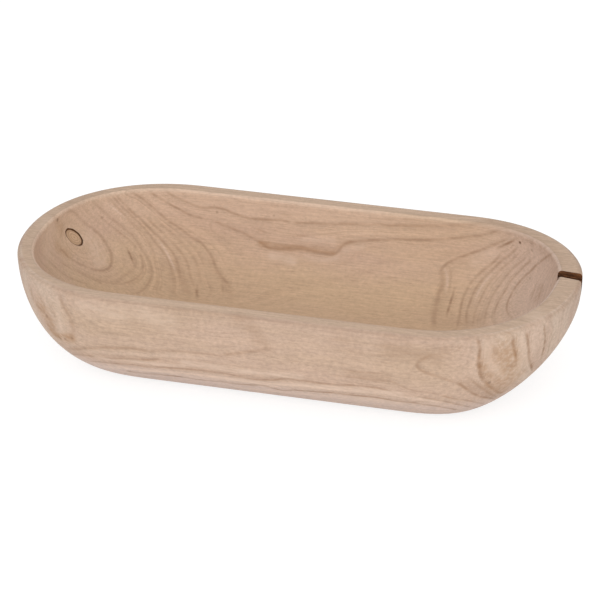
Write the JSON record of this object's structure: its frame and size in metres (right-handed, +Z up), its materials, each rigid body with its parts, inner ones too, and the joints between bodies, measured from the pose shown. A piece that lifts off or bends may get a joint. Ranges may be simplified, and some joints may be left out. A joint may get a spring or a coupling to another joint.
{
  "type": "wooden bowl",
  "caption": "Long oval wooden bowl carved from one block, with straight sides, rounded ends, a flat rim and a flat base, for fruit, bread or display.",
  "frame": {"origin": "centre of the flat base, on the surface that the bowl stands on", "axes": "+X along the bowl towards the end with the split in its rim, +Y from the front side to the back side, +Z up out of the bowl"},
  "size_m": [0.4996, 0.2398, 0.1],
  "materials": {
    "paulownia": "sanded, unfinished, matt",
    "knot_wood": "sanded, unfinished, matt"
  },
  "bodies": {
    "root": {"bowl": "paulownia", "dead_knot": "knot_wood"}
  },
  "joints": []
}
